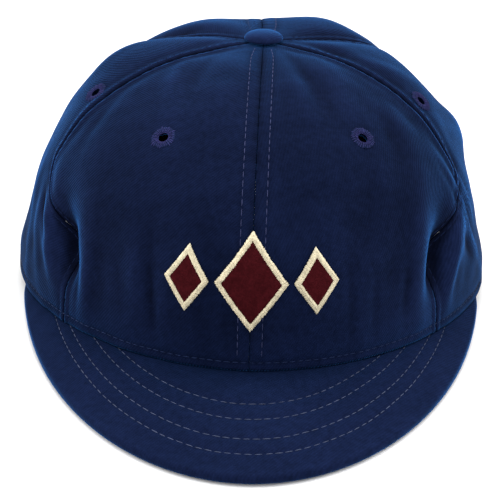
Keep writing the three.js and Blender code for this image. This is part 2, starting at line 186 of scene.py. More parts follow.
PANELS = {  # name: seam at its left, seam at its right, eyelet azimuth, eyelet level
    "front_panel_left": (-1, 0, -31, 0.552),
    "front_panel_right": (0, 1, 36, 0.554),
    "side_panel_left": (-2, -1, -77, 0.533),
    "side_panel_right": (1, 2, 78, 0.531),
    "back_panel_left": (-3, -2, -148, 0.56),
    "back_panel_right": (2, 3, 148, 0.56),
}

DIAMONDS = {  # name: middle, half width, half height
    "left": (-24.0, 8.5, 11.5),
    "middle": (0.0, 13.5, 17.3),
    "right": (24.0, 8.5, 11.5),
}
ORNAMENT_HEIGHT = 34.0
FELT_GAP = 0.3
FELT_THICK = 1.1
EDGE_WIDTH = 2.0

# Rows of stitches on the visor: distance from its edge at the centre, in millimetres. They keep
# clear of the edge by more towards their ends, by a base amount and a share of that distance.
VISOR_ROWS = (35.0, 26.7, 16.7, 9.3)
ROW_SPREAD = 17.0
ROW_SPREAD_SHARE = 0.9
WANDER = 0.24  # of a stitch to the side, as a share of the thread's radius
WAVES = 7  # in each random field


# Shape of the cloth

def smooth(t):
    t = np.clip(t, 0, 1)
    return t * t * (3 - 2 * t)


def bell(t):
    return np.exp(-t * t)


def unit(v):
    return v / np.linalg.norm(v, axis=-1, keepdims=True)


def paired(a, b):
    return np.broadcast_arrays(np.asarray(a, float), np.asarray(b, float))


def signed(azimuth):
    return (azimuth + 180) % 360 - 180


def crown_shift():
    """From the crown's own measures to the frame, found at the button."""
    low, high = (np.array(v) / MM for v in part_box("button"))
    return np.array([(low[0] + high[0]) / 2 - APEX_SIDEWAYS, (low[1] + high[1]) / 2 - APEX_BACK, 0.0])


SHIFT = crown_shift()


def profile_at(azimuth):
    turn = np.minimum(180, np.abs(azimuth))
    ends, *columns = np.array(PROFILE).T
    n = np.clip(np.searchsorted(ends, turn, "right") - 1, 0, len(ends) - 2)
    share = smooth((turn - ends[n]) / (ends[n + 1] - ends[n]))
    return (column[n] + (column[n + 1] - column[n]) * share for column in columns)


def rim_point(azimuth):
    s, c = np.sin(np.radians(azimuth)), np.cos(np.radians(azimuth))
    reach = (np.abs(s) ** RIM_POWER + np.abs(c) ** RIM_POWER) ** (-1 / RIM_POWER)
    length = np.where(c > 0, CROWN_FRONT, CROWN_BACK)
    rise = RIM_RISE_SIDE * smooth((c + 0.6) / 0.6) + (RIM_RISE_FRONT - RIM_RISE_SIDE) * smooth(c)
    return CROWN_HALF_WIDTH * s * reach, -length * c * reach, rise


def smooth_crown(azimuth, level):
    azimuth, level = paired(azimuth, level)
    x, y, z = rim_point(azimuth)
    power, taper = profile_at(azimuth)
    angle = np.radians(90 * level)
    s, c = np.abs(np.sin(angle)), np.maximum(np.cos(angle), 1e-9)
    reach = (s ** power + c ** power) ** (-1 / power)
    out, up = c * reach * (1 - taper * s * reach), s * reach
    return np.stack([APEX_SIDEWAYS + (x - APEX_SIDEWAYS) * out, APEX_BACK + (y - APEX_BACK) * out,
                     z + (CROWN_HEIGHT - z) * up], -1)


def crown_outwards(azimuth, level):
    azimuth, level = paired(azimuth, level)
    low, high = np.maximum(0, level - 0.004), np.minimum(0.995, level + 0.004)
    across = smooth_crown(azimuth + 0.4, level) - smooth_crown(azimuth - 0.4, level)
    normal = unit(np.cross(across, smooth_crown(azimuth, high) - smooth_crown(azimuth, low)))
    normal[..., 2] *= smooth(level / 0.06)
    return unit(normal)


def seam_azimuth(seam, level):
    level, side = np.asarray(level, float), np.sign(seam)
    if abs(seam) in STRAIGHT_SEAMS:
        return np.full_like(level, STRAIGHT_SEAMS[abs(seam)] * side)
    turned = smooth((level - SEAM_TURN_START) / (SEAM_TURN_END - SEAM_TURN_START))
    return side * (FRONT_SEAM_AT_RIM + (FRONT_SEAM_ABOVE - FRONT_SEAM_AT_RIM) * turned)


def from_apex(azimuth, level):
    point = smooth_crown(azimuth, level)
    return np.hypot(point[..., 0] - APEX_SIDEWAYS, point[..., 1] - APEX_BACK)


def from_seam(seam, turn, level, radius):
    return np.radians(turn - seam_azimuth(seam, level)) * radius


def waves(points, size, seed):
    """A smooth random field between about -1 and 1, with lumps of the given size."""
    rng = np.random.default_rng(seed)
    total = np.zeros(points.shape[:-1])
    for _ in range(WAVES):
        way = unit(rng.normal(size=3))
        pitch = size * rng.uniform(0.7, 1.5)
        total += np.sin(points @ way * (2 * math.pi / pitch) + rng.uniform(0, 2 * math.pi))
    return total / math.sqrt(WAVES * 2)


def folded(table, turn, level, scale):
    total = np.zeros_like(turn)
    for azimuth, middle, depth, width, reach, lean in table:
        away = signed(turn - azimuth - lean * (level - middle))
        total += scale * depth * bell(away / width) * bell((level - middle) / reach)
    return total


def relief(azimuth, level):
    """How far the cloth stands out from the smooth crown, as in the solids."""
    azimuth, level = paired(azimuth, level)
    turn = signed(azimuth)
    radius = from_apex(azimuth, level)
    offset = np.zeros_like(turn)
    for left, right, _, _ in PANELS.values():
        low, high = seam_azimuth(left, level), seam_azimuth(right, level)
        share = (turn - low) / (high - low)
        puffed = PUFF * np.sin(np.pi * np.clip(share, 0, 1)) * smooth(level / 0.3)
        offset += np.where((share >= 0) & (share <= 1), puffed, 0)
    for seam in range(-3, 4):
        away = from_seam(seam, turn, level, radius)
        dip = SEAM_DIP * (CENTRE_SEAM_SHARE if seam % 3 == 0 else 1)
        offset -= dip * bell(away / SEAM_DIP_WIDTH) * (0.3 + 0.7 * smooth(level / 0.2))
    offset += folded(FOLDS, turn, level, FOLD_DEPTH)
    return offset * smooth(radius / APEX_FADE)


def seam_row(seam):
    """Distance of the rows of stitches from a seam, wider at the centre front and back."""
    return CENTRE_ROW if seam % 3 == 0 else SIDE_ROW


def fine_relief(azimuth, level):
    """Creases, seam edges and the pull of the stitches, on top of the relief of the solids."""
    azimuth, level = paired(azimuth, level)
    turn = signed(azimuth)
    radius = from_apex(azimuth, level)
    point = smooth_crown(azimuth, level)
    offset = folded(CREASES, turn, level, CREASE_STRENGTH)
    # soft lumps, then upright flutes that gather towards the rim
    offset += 0.28 * waves(point, 34, 5) + 0.1 * waves(point, 11, 6)
    flutes = np.sin(np.radians(turn) * 47 + 2.2 * waves(point, 60, 8))
    flutes *= 0.6 + 0.4 * waves(point, 45, 9)
    offset += 0.16 * flutes * bell((level - 0.12) / 0.12)
    along = point[..., 2] + radius
    for seam in range(-3, 4):
        away = np.abs(from_seam(seam, turn, level, radius))
        row, centre = seam_row(seam), seam % 3 == 0
        # the turned edges under the cloth, the seam itself, and the pull of the rows beside it
        offset += (0.2 if centre else 0.28) * smooth((row + 0.9 - away) / 1.1)
        offset -= (0.22 if centre else 0.42) * bell(away / 0.5)
        offset -= 0.2 * bell((away - row) / 0.6)
        gather = np.sin(along * 2.1 + 1.3 * waves(point, 13, 20 + seam))
        offset += 0.09 * bell(away / (row + 1.2)) ** 2 * gather
        if abs(seam) == 1:
            offset += 0.6 * bell((away - 2.2) / 1.8) * smooth((level - 0.26) / 0.08)
    # the row of stitches round the rim, and the soft turned edge below it
    offset -= 0.3 * bell((level * SLOPE - RIM_ROW) / 0.8)
    offset += 0.2 * bell(level * SLOPE - 1.5)
    for _, _, at, height in PANELS.values():
        across = np.radians(turn - at) * radius
        upwards = (level - height) * SLOPE
        offset -= 0.35 * bell(np.hypot(across, upwards) / 4.2)
    return offset * smooth(radius / 24)


def lifted(azimuth, level, lift):
    """A point that stands out from the smooth crown by a lift in mm, in metres in the frame."""
    return (smooth_crown(azimuth, level) + crown_outwards(azimuth, level) * lift[..., None] + SHIFT) * MM


def cloth_lift(azimuth, level):
    return relief(azimuth, level) + fine_relief(azimuth, level)


def cloth_point(azimuth, level):
    return lifted(azimuth, level, cloth_lift(azimuth, level))


def wear_and_painted_light(azimuth, level):
    """How worn the cloth is and where light and shade are painted on it, from 0 in the deepest hollows
    (painted shade) to 1 on the sharpest ridges (faded dye and painted highlight).
    """
    radius = np.maximum(from_apex(azimuth, level), 6)
    here = cloth_lift(azimuth, level)
    total = np.full_like(here, 0.5)
    # below the mean of its neighbours the cloth gets painted shade, above it faded dye and painted
    # highlight
    for reach, gain in ((2.2, 0.9), (8.0, 0.15)):
        spread, rise = np.degrees(reach / radius), reach / SLOPE
        around = (cloth_lift(azimuth + spread, level) + cloth_lift(azimuth - spread, level)
                  + cloth_lift(azimuth, np.minimum(level + rise, 0.99))
                  + cloth_lift(azimuth, np.maximum(level - rise, 0)))
        total += gain * (here - around / 4)
    # painted light along the brow of the rim at the front, painted shade on the sides low down, and a
    # painted shadow along the cut edge where the crown meets the visor
    turn = np.abs(signed(azimuth))
    total += 0.34 * bell((level - 0.04) / 0.06) * smooth((60 - turn) / 20)
    total -= 0.3 * bell((turn - 84) / 26) * smooth((0.3 - level) / 0.2)
    total *= smooth((level + 0.001) / 0.006)
    return np.clip(total, 0, 1)


def cloth_frame(azimuth, level):
    """Point and outward direction of the finished cloth."""
    point = cloth_point(azimuth, level)
    spread = np.degrees(1 / np.maximum(from_apex(azimuth, level), 5))
    across = cloth_point(azimuth + spread, level) - cloth_point(azimuth - spread, level)
    higher, lower = np.minimum(level + 0.008, 0.995), np.maximum(level - 0.008, 0)
    upwards = cloth_point(azimuth, higher) - cloth_point(azimuth, lower)
    return point, unit(np.cross(across, upwards))


def cloth_spot(azimuth, level):
    """The same for one place, as vectors."""
    return (Vector(v[0]) for v in cloth_frame(np.array([float(azimuth)]), np.array([float(level)])))


def last_level(azimuth, low, high, test):
    """The highest level between low and high that still passes a test, found by halving."""
    low, high = np.full_like(azimuth, low, dtype=float), np.full_like(azimuth, high, dtype=float)
    for _ in range(30):
        middle = (low + high) / 2
        passed = test(middle)
        low, high = np.where(passed, middle, low), np.where(passed, high, middle)
    return low


def ornament_point(across, upwards, height):
    """A point above the front of the cap, in metres, for the felt and its stitched edge."""
    across, upwards = paired(across, upwards)
    azimuth = np.degrees(across / CROWN_FRONT)
    top = RIM_RISE_FRONT + ORNAMENT_HEIGHT + upwards
    level = last_level(azimuth, 0, 0.9, lambda level: smooth_crown(azimuth, level)[..., 2] < top)
    bridge = PUFF * np.sin(np.pi * np.abs(azimuth) / seam_azimuth(1, level)) * smooth(level / 0.3)
    return lifted(azimuth, level, np.maximum(bridge, relief(azimuth, level)) + FELT_GAP + height)


def end_taper(side):
    """How much of its thickness the visor has lost, from below, near its two ends."""
    return 0.6 * smooth((np.abs(side) - 0.94) / 0.06)


def visor_point(side, share, top):
    """A point on the visor. side runs from -1 to 1 along it, share from 0 at the rim to 1."""
    side, share = paired(side, share)
    azimuth = VISOR_RIM_CORNER * side
    x, y, z = rim_point(azimuth)
    inner = np.stack([x, y, z], -1) - crown_outwards(azimuth, 0.0 * side) * CLOTH
    inner[..., 2] -= RIM_TO_VISOR + VISOR_THICK
    angle = np.radians(VISOR_EDGE_CORNER * side)
    s, c = np.sin(angle), np.cos(angle)
    reach = (np.abs(s) ** VISOR_POWER + c ** VISOR_POWER) ** (-1 / VISOR_POWER)
    tip = CROWN_FRONT + VISOR_LENGTH + VISOR_WIDEST_BACK
    corner = float(rim_point(np.array(VISOR_RIM_CORNER))[2]) - RIM_TO_VISOR - VISOR_THICK
    lift = corner * smooth((np.abs(side) - VISOR_FLAT_SHARE) / (1 - VISOR_FLAT_SHARE))
    outer = np.stack([VISOR_HALF_WIDTH * s * reach, VISOR_WIDEST_BACK - tip * c * reach, lift], -1)
    along = outer - inner
    width = np.hypot(along[..., 0], along[..., 1])
    nose = VISOR_THICK / 2 / width
    point = inner + along * (share * (1 - nose))[..., None]
    point[..., 2] = inner[..., 2] + along[..., 2] * share
    point[..., 2] += VISOR_ARCH / 2 * np.minimum(1, width / VISOR_LENGTH) * np.sin(np.pi * share ** 0.8)
    point[..., 2] += VISOR_THICK * (top + (1 - top) * end_taper(side))
    return point + SHIFT


# Meshes and materials

def settings():
    return bpy.context.scene.cap_settings


def new_object(name, bm):
    mesh = bpy.data.meshes.new(name)
    bm.to_mesh(mesh)
    bm.free()
    for face in mesh.polygons:
        face.use_smooth = True
    obj = bpy.data.objects.new(name, mesh)
    bpy.context.scene.collection.objects.link(obj)
    return obj


def dress(name, bm, finish, slot, *nodes):
    """Makes a piece of the cap from its mesh, with its finish and the nodes it replaces; the slot is not
    used.
    """
    obj = new_object(name, bm)
    obj.data.materials.append(material(finish))
    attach(obj, "root")
    if nodes:
        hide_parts(*nodes)


def mapped_mesh():
    """An empty mesh with the cloth's map and its layer of wear and painted light and shade."""
    bm = bmesh.new()
    return bm, bm.loops.layers.uv.new("cloth"), bm.verts.layers.float.new("rub")


def add_grid(bm, columns, rows):
    """Adds a grid, and gives each vertex's share across it and up it."""
    bmesh.ops.create_grid(bm, x_segments=columns, y_segments=rows, size=0.5)
    bm.verts.index_update()
    return (np.array([vert.co[:2] for vert in bm.verts]) + 0.5).T


def set_places(bm, points, faded_and_lit=None, rub=None):
    for n, vert in enumerate(bm.verts):
        vert.co = points[n]
        if faded_and_lit is not None:
            vert[faded_and_lit] = rub[n]


def set_map(bm, layer, place):
    for face in bm.faces:
        for loop in face.loops:
            loop[layer].uv = place(loop.vert)


def thread(bm, start, end, lift, radius, sides=6, rings=4):
    """One stitch: a rounded length of thread that dips into the cloth at both ends."""
    start, end = Vector(start), Vector(end)
    length = (end - start).length
    if length < 1e-6:
        return
    along = (end - start).normalized()
    across = Vector(lift).cross(along).normalized()
    lift = along.cross(across)
    turn = Matrix((across, lift, along)).transposed().to_4x4()
    middle = (start + end) / 2
    size = Matrix.Diagonal((radius, radius, length / 2 + radius * 0.3, 1.0))
    bmesh.ops.create_uvsphere(bm, u_segments=sides, v_segments=rings, radius=1.0,
                              matrix=Matrix.Translation(middle) @ turn @ size)


def stitch_row(bm, points, normals, lift, seed, share=1, thickness=1):
    """Stitches along a path of points and normals, with shares of the usual length and radius."""
    s = settings()
    stitch, gap, radius = s.stitch_length * share, s.stitch_gap, s.thread_radius * thickness
    rng = random.Random(seed)
    steps = np.linalg.norm(np.diff(points, axis=0), axis=1)
    travelled = np.concatenate([[0], np.cumsum(steps)])
    total = travelled[-1]

    def at(distance):
        point = Vector([np.interp(distance, travelled, points[:, k]) for k in range(3)])
        normal = Vector([np.interp(distance, travelled, normals[:, k]) for k in range(3)])
        return point, normal.normalized()

    place = gap
    while place + stitch < total:
        length = stitch * rng.uniform(0.88, 1.1)
        a, na = at(place)
        b, nb = at(place + length)
        side = (b - a).cross(na).normalized() * radius * rng.uniform(-WANDER, WANDER)
        thread(bm, a + na * lift + side, b + nb * lift - side, na + nb,
               radius * rng.uniform(0.92, 1.08), rings=5)
        place += length + gap * rng.uniform(0.85, 1.2)


def feed(tree, made, inputs):
    """Gives each input of a node its value, or links it to the output that feeds it."""
    for key, value in inputs.items():
        if isinstance(value, bpy.types.NodeSocket):
            tree.links.new(value, made.inputs[key])
        else:
            made.inputs[key].default_value = value
    return made


def node(tree, kind, x, y, inputs, **values):
    made = tree.nodes.new(kind)
    made.location = (x, y)
    for key, value in values.items():
        setattr(made, key, value)
    return feed(tree, made, inputs)


def maths(tree, x, y, operation, *inputs, clamp=False):
    return node(tree, "ShaderNodeMath", x, y, dict(enumerate(inputs)),
                operation=operation, use_clamp=clamp).outputs[0]


def noise(tree, x, y, vector, scale, detail, roughness=0.5):
    return node(tree, "ShaderNodeTexNoise", x, y, {
        "Vector": vector, "Scale": scale, "Detail": detail, "Roughness": roughness}).outputs["Fac"]


def remap(tree, x, y, value, old, new):
    """A value moved from one range to another, held at both ends."""
    return node(tree, "ShaderNodeMapRange", x, y, {
        "Value": value, "From Min": old[0], "From Max": old[1],
        "To Min": new[0], "To Max": new[1]}).outputs[0]


def new_group(name, inputs, outputs):
    """A node group with the given sockets, and the outputs of its input node."""
    tree = bpy.data.node_groups.new(name, "ShaderNodeTree")
    for way, sockets in (("INPUT", inputs), ("OUTPUT", outputs)):
        for label, kind in sockets.items():
            tree.interface.new_socket(label, in_out=way, socket_type="NodeSocket" + kind)
    return tree, node(tree, "NodeGroupInput", -1000, 0, {}).outputs


def weave_group():
    """Twill: slanting ribs crossed by fine threads, from a map measured in millimetres."""
    name = "Twill weave"
    if name in bpy.data.node_groups:
        return bpy.data.node_groups[name]
    tree, given = new_group(name, {"Vector": "Vector", "Rib spacing": "Float"},
                            {"Height": "Float", "Shade": "Float"})
    wobble = noise(tree, -800, -300, given["Vector"], 0.35, 2.0)
    place = node(tree, "ShaderNodeSeparateXYZ", -800, 0, {0: given["Vector"]}).outputs

    def slanted(across, up, wobble_by, y):
        along = maths(tree, -600, y, "MULTIPLY", place["X"], across)
        both_ways = maths(tree, -600, y - 60, "MULTIPLY_ADD", place["Y"], up, along)
        shifted = maths(tree, -450, y, "MULTIPLY_ADD", wobble, wobble_by, both_ways)
        spaced = maths(tree, -300, y, "DIVIDE", shifted, given["Rib spacing"])
        turns = maths(tree, -150, y, "MULTIPLY", spaced, 2 * math.pi)
        return maths(tree, 0, y, "SINE", turns)

    ribs = slanted(0.743, -0.669, 0.9, 200)
    threads = slanted(1.5, 1.7, 0.3, -100)
    both = maths(tree, 200, 100, "MULTIPLY_ADD", threads, 0.35, ribs)
    reach = (-1.35, 1.35)
    node(tree, "NodeGroupOutput", 700, 0, {
        "Height": remap(tree, 400, 200, both, reach, (0, 1)),
        "Shade": remap(tree, 400, -100, both, reach, (0.87, 1.13))})
    return tree


def dye_shade_group():
    """Uneven dye and rubbed patches of old cloth, from Object coordinates, with painted shade in the
    hollows and painted highlight on the ridges.
    """
    name = "Worn dye"
    if name in bpy.data.node_groups:
        return bpy.data.node_groups[name]
    tree, given = new_group(
        name, {"Colour": "Color", "Faded colour": "Color", "Shade": "Float", "Rub": "Float"},
        {"Colour": "Color", "Roughness": "Float", "Nap": "Float"})
    place = node(tree, "ShaderNodeTexCoord", -900, -300, {}).outputs["Object"]
    broad = noise(tree, -700, -200, place, 22.0, 5.0)
    fine = noise(tree, -700, -500, place, 420.0, 6.0, 0.7)
    # ridges show the faded dye, partly real wear and partly painted highlight; hollows are darkened as
    # painted shade, and the sheen is painted too, cut in the hollows and raised on the ridges
    fade = remap(tree, -450, -200, broad, (0.38, 0.72), (0, 1))
    ridge = remap(tree, -700, 200, given["Rub"], (0.5, 1), (0, 0.9))
    faded_and_lit = maths(tree, -450, 100, "MULTIPLY_ADD", fade, 0.6, ridge, clamp=True)
    mix = node(tree, "ShaderNodeMix", -200, 0, {
        "Factor": faded_and_lit, 6: given["Colour"], 7: given["Faded colour"]}, data_type="RGBA")
    hollow_shade = remap(tree, -700, 400, given["Rub"], (0, 0.5), (0.42, 1))
    speck = remap(tree, -450, -500, fine, (0.3, 0.7), (0.72, 1.3))
    tone = maths(tree, -200, -300, "MULTIPLY", speck, given["Shade"])
    tone_and_shade = maths(tree, -50, -300, "MULTIPLY", tone, hollow_shade)
    shaded = node(tree, "ShaderNodeVectorMath", 100, 0, {0: mix.outputs[2], "Scale": tone_and_shade},
                  operation="SCALE")
    node(tree, "NodeGroupOutput", 700, 0, {
        "Colour": shaded.outputs[0],
        "Roughness": remap(tree, 100, -300, broad, (0, 1), (0.92, 0.78)),
        "Nap": remap(tree, -450, 400, given["Rub"], (0.05, 0.95), (0, 2))})
    return tree


def new_material(name):
    made = bpy.data.materials.new(name)
    made.use_nodes = True
    tree = made.node_tree
    place = node(tree, "ShaderNodeTexCoord", -1000, 0, {}).outputs
    return made, tree, tree.nodes["Principled BSDF"], place


def dye_with_shade(tree, dye, fresh, faded, shade, rub):
    """The dye with its wear and its painted shade and highlight; fresh and faded say how much lighter it
    is than the plain dye.
    """
    fresh, faded = ((*(min(1.0, c * by) for c in dye), 1) for by in (fresh, faded))
    return node(tree, "ShaderNodeGroup", -450, 0, {
        "Colour": fresh, "Faded colour": faded, "Shade": shade, "Rub": rub},
        node_tree=dye_shade_group()).outputs


def bump(tree, strength, height):
    return node(tree, "ShaderNodeBump", -200, -350, {
        "Strength": strength, "Distance": 0.3 * MM, "Height": height}).outputs["Normal"]


CLOTHS = {  # name: lightness of the fresh and the faded dye, share of the sheen, bump of the weave
    "navy cloth": (1.0, 1.9, 1.0, 0.38),
    # the visor's and the button's cloth is the crown's navy made lighter and given more sheen, as
    # painted light
    "visor cloth": (1.3, 1.8, 1.1, 0.25),
    "button cloth": (1.7, 2.6, 1.5, 0.35),
}

FIBRES = {  # name: setting with the dye, lightness when faded, roughness, noise scale, bump, specular
    "eyelet thread": ("eyelet_thread", 1.4, 0.7, 2600.0, 0.4, 0.05),
    "seam thread": ("seam_thread", 0.6, 0.6, 2600.0, 0.3, 0.1),
    "side thread": ("side_thread", 1.4, 0.7, 2600.0, 0.3, 0.03),
    "visor thread": ("visor_thread", 0.6, 0.6, 2600.0, 0.3, 0.1),
    "rim thread": ("rim_thread", 0.6, 0.6, 2600.0, 0.3, 0.1),
    "maroon felt": ("maroon", 1.3, 0.9, 1500.0, 0.9, 0.02),
    "cream thread": ("cream", 0.82, 0.55, 2600.0, 0.3, 0.1),
}


def cloth_material(name):
    """Woven wool cloth that follows the piece's own map."""
    fresh, faded, sheen, strength = CLOTHS[name]
    s = settings()
    made, tree, shader, place = new_material(name)
    weave = node(tree, "ShaderNodeGroup", -750, 0, {
        "Vector": place["UV"], "Rib spacing": s.rib_spacing}, node_tree=weave_group()).outputs
    rub = node(tree, "ShaderNodeAttribute", -750, 300, {}, attribute_name="rub").outputs["Fac"]
    dye_and_shade = dye_with_shade(tree, s.navy, fresh, faded, weave["Shade"], rub)
    fuzz = noise(tree, -750, -400, place["Object"], 1400.0, 4.0)
    rise = maths(tree, -450, -350, "MULTIPLY_ADD", fuzz, 0.6, weave["Height"])
    # sheen raised on the ridges as painted highlight and cut in the hollows as painted shade
    feed(tree, shader, {
        "Base Color": dye_and_shade["Colour"], "Roughness": dye_and_shade["Roughness"], "Specular IOR Level": 0.02,
        "Sheen Weight": maths(tree, -200, 200, "MULTIPLY", dye_and_shade["Nap"], s.sheen * sheen),
        "Sheen Roughness": 0.3, "Sheen Tint": (*s.sheen_tint, 1),
        "Normal": bump(tree, strength, rise)})
    return made


def fibre_material(name):
    """Spun thread or felt, with its fine fibres on Object coordinates."""
    dye, faded, roughness, scale, strength, specular = FIBRES[name]
    made, tree, shader, place = new_material(name)
    fibres = noise(tree, -750, 0, place["Object"], scale, 5.0)
    shade = remap(tree, -600, 200, fibres, (0.3, 0.7), (0.8, 1.15))
    dye_and_shade = dye_with_shade(tree, getattr(settings(), dye), 1.0, faded, shade, 0.5)
    feed(tree, shader, {
        "Base Color": dye_and_shade["Colour"], "Roughness": roughness, "Specular IOR Level": specular,
        "Normal": bump(tree, strength, fibres)})
    return made


def material(name):
    """The finishes of the cap, each made the first time that it is asked for."""
    if name in bpy.data.materials:
        return bpy.data.materials[name]
    return cloth_material(name) if name in CLOTHS else fibre_material(name)


# Settings

def size(name, description, default):
    return bpy.props.FloatProperty(name=name, description=description, default=default, min=0.0,
                                   unit="LENGTH", subtype="DISTANCE", precision=5)


def colour(name, description, default):
    return bpy.props.FloatVectorProperty(name=name, description=description, default=default, size=3,
                                         min=0.0, max=1.0, subtype="COLOR")


class CapSettings(bpy.types.PropertyGroup):
    cloth_thickness: size("Cloth thickness", "Thickness of the crown's cloth", CLOTH * MM)
    rim_row_height: size("Rim row height", "Height of the row of stitches above the rim", RIM_ROW * MM)
    stitch_length: size("Stitch length", "Length of a stitch that shows on the cloth", 2.7 * MM)
    stitch_gap: size("Stitch gap", "Distance between two stitches of a row", 0.75 * MM)
    thread_radius: size("Thread radius", "Half the thickness of the sewing thread", 0.19 * MM)
    eyelet_radius: size("Eyelet radius", "Outer radius of a worked eyelet", 4.9 * MM)
    eyelet_hole: size("Eyelet hole", "Radius of the hole in an eyelet", 2.0 * MM)
    rib_spacing: bpy.props.FloatProperty(
        name="Rib spacing", description="Millimetres between two slanting ribs of the cloth",
        default=0.98, min=0.2)
    sheen: bpy.props.FloatProperty(
        name="Sheen", description="How strongly the nap of the cloth catches light",
        default=0.48, min=0.0, max=1.0)
    navy: colour("Navy", "Dye of the cloth", (0.0032, 0.006, 0.0222))
    sheen_tint: colour("Sheen tint", "Colour of the nap where it catches light", (0.065, 0.335, 1.0))
    eyelet_thread: colour("Eyelet thread", "Thread of the eyelets", (0.03, 0.031, 0.115))
    seam_thread: colour("Seam thread", "Thread beside the centre seam", (0.045, 0.053, 0.13))
    side_thread: colour("Side thread", "Thread beside the other seams", (0.007, 0.013, 0.045))
    visor_thread: colour("Visor thread", "Thread of the visor's rows", (0.065, 0.08, 0.14))
    rim_thread: colour("Rim thread", "Thread of the row above the rim", (0.02, 0.035, 0.1))
    maroon: colour("Felt", "Felt of the ornament", (0.04, 0.0042, 0.0062))
    cream: colour("Cream", "Thread round the felt", (0.74, 0.66, 0.47))


# Operators

class CAP_OT_panels(bpy.types.Operator):
    """Shape the six cloth panels of the crown."""
    bl_idname = "cap.panels"
    bl_label = "Crown panels"

    COLUMNS = 84
    ROWS = 118
    CROWDING = 0.72
    SEAM_GAP = 0.09

    def execute(self, context):
        for name, (left, right, at, height) in PANELS.items():
            bm, layer, faded_and_lit = mapped_mesh()
            across, up = add_grid(bm, self.COLUMNS, self.ROWS)
            # columns lie closer together beside the seams
            across = across - self.CROWDING * np.sin(2 * np.pi * across) / (2 * np.pi)
            middle = (seam_azimuth(left, 0.9) + seam_azimuth(right, 0.9)) / 2
            top = last_level(middle, 0.5, 1, lambda level: from_apex(middle, level) > APEX_HOLE)
            level = up * top
            low, high = seam_azimuth(left, level), seam_azimuth(right, level)
            inset = np.degrees(self.SEAM_GAP / np.maximum(from_apex((low + high) / 2, level), 2))
            azimuth = low + inset + (high - low - 2 * inset) * across
            # the layer carries the wear and the painted light and shade of the cloth
            set_places(bm, cloth_point(azimuth, level), faded_and_lit, wear_and_painted_light(azimuth, level))
            maps = np.stack([np.radians(azimuth - middle) * from_apex(azimuth, level),
                             level * SLOPE], -1)
            set_map(bm, layer, lambda vert: maps[vert.index])
            self.open_eyelet(bm, at, height)
            bmesh.ops.recalc_face_normals(bm, faces=bm.faces)
            self.face_outwards(bm)
            bmesh.ops.solidify(bm, geom=bm.faces, thickness=settings().cloth_thickness)
            for vert in bm.verts:
                vert.co.z = max(vert.co.z, 0.0)
            dress(name + "_cloth", bm, "navy cloth", "navy_cloth", name)
        return {"FINISHED"}

    @staticmethod
    def open_eyelet(bm, azimuth, level):
        """Cuts the hole that the worked eyelet binds."""
        middle, _ = cloth_spot(azimuth, level)
        reach = settings().eyelet_hole + 0.5 * MM
        inside = [f for f in bm.faces if (f.calc_center_median() - middle).length < reach]
        bmesh.ops.delete(bm, geom=inside, context="FACES")
        for vert in bm.verts:
            away = vert.co - middle
            if away.length < reach * 1.35 and vert.is_boundary:
                vert.co = middle + away.normalized() * reach

    @staticmethod
    def face_outwards(bm):
        centre = Vector((SHIFT + [0, 0, 30]) * MM)
        face = max(bm.faces, key=lambda face: face.calc_area())
        if face.normal.dot(face.calc_center_median() - centre) < 0:
            bmesh.ops.reverse_faces(bm, faces=bm.faces)


class CAP_OT_crown_stitches(bpy.types.Operator):
    """Sew the rows of stitches beside the seams and round the rim."""
    bl_idname = "cap.crown_stitches"
    bl_label = "Crown stitches"

    SHORT = 0.8
    THIN = 0.85

    def execute(self, context):
        centre, others = bmesh.new(), bmesh.new()
        for seam in (-2, -1, 0, 1, 2, 3):
            rows = centre if seam in (0, 3) else others
            for side in (-1, 1):
                level = np.linspace(0.04, 0.955, 260)
                middle = seam_azimuth(seam, level)
                radius = np.maximum(from_apex(middle, level), 4)
                # the rows draw together under the button
                near = 0.7 + 0.3 * smooth((radius - 6) / 16)
                azimuth = middle + side * np.degrees(seam_row(seam) / radius) * near
                point, normal = cloth_frame(azimuth, level)
                keep = radius > 8.5
                stitch_row(rows, point[keep], normal[keep], -0.02 * MM, 40 + seam * 2 + side,
                           thickness=self.THIN)
        dress("centre_seam_stitches", centre, "seam thread", "navy_thread")
        dress("side_seam_stitches", others, "side thread", "navy_thread")
        ring = bmesh.new()
        azimuth = np.linspace(-179.5, 179.5, 900)
        point, normal = cloth_frame(azimuth, settings().rim_row_height / MM / SLOPE)
        stitch_row(ring, point, normal, 0.0, 71, self.SHORT, self.THIN)
        dress("rim_stitches", ring, "rim thread", "navy_thread")
        return {"FINISHED"}


